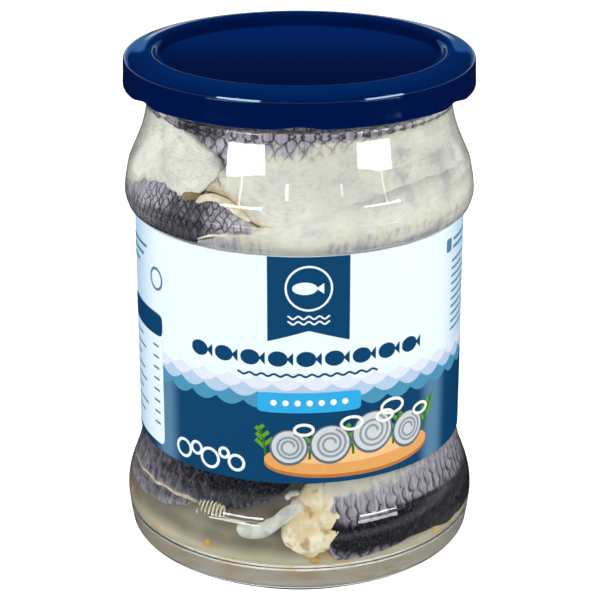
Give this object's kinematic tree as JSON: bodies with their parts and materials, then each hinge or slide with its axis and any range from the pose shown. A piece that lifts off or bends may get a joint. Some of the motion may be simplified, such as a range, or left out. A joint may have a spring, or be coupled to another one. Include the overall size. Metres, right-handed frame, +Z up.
{
  "type": "jar of pickled herring",
  "caption": "Glass jar of pickled herring fillets with a twist-off metal lid and a plain printed paper wrap, shut and standing upright.",
  "frame": {"origin": "middle of the jar's base, on the plane of its foot ring", "axes": "+Z up along the jar's axis, -Y towards the printed front of the label, +X to the right as the front is seen"},
  "size_m": [0.0874, 0.0874, 0.1266],
  "materials": {
    "glass": "clear, smooth, faint green",
    "lid": "glossy dark blue enamel",
    "label": "coated paper, pale blue white over dark blue",
    "fish": "wet silvery skin and pale flesh"
  },
  "bodies": {
    "root": {"glass_jar": "glass", "lid": "lid", "label": "label", "herring_heap": "fish"}
  },
  "joints": []
}
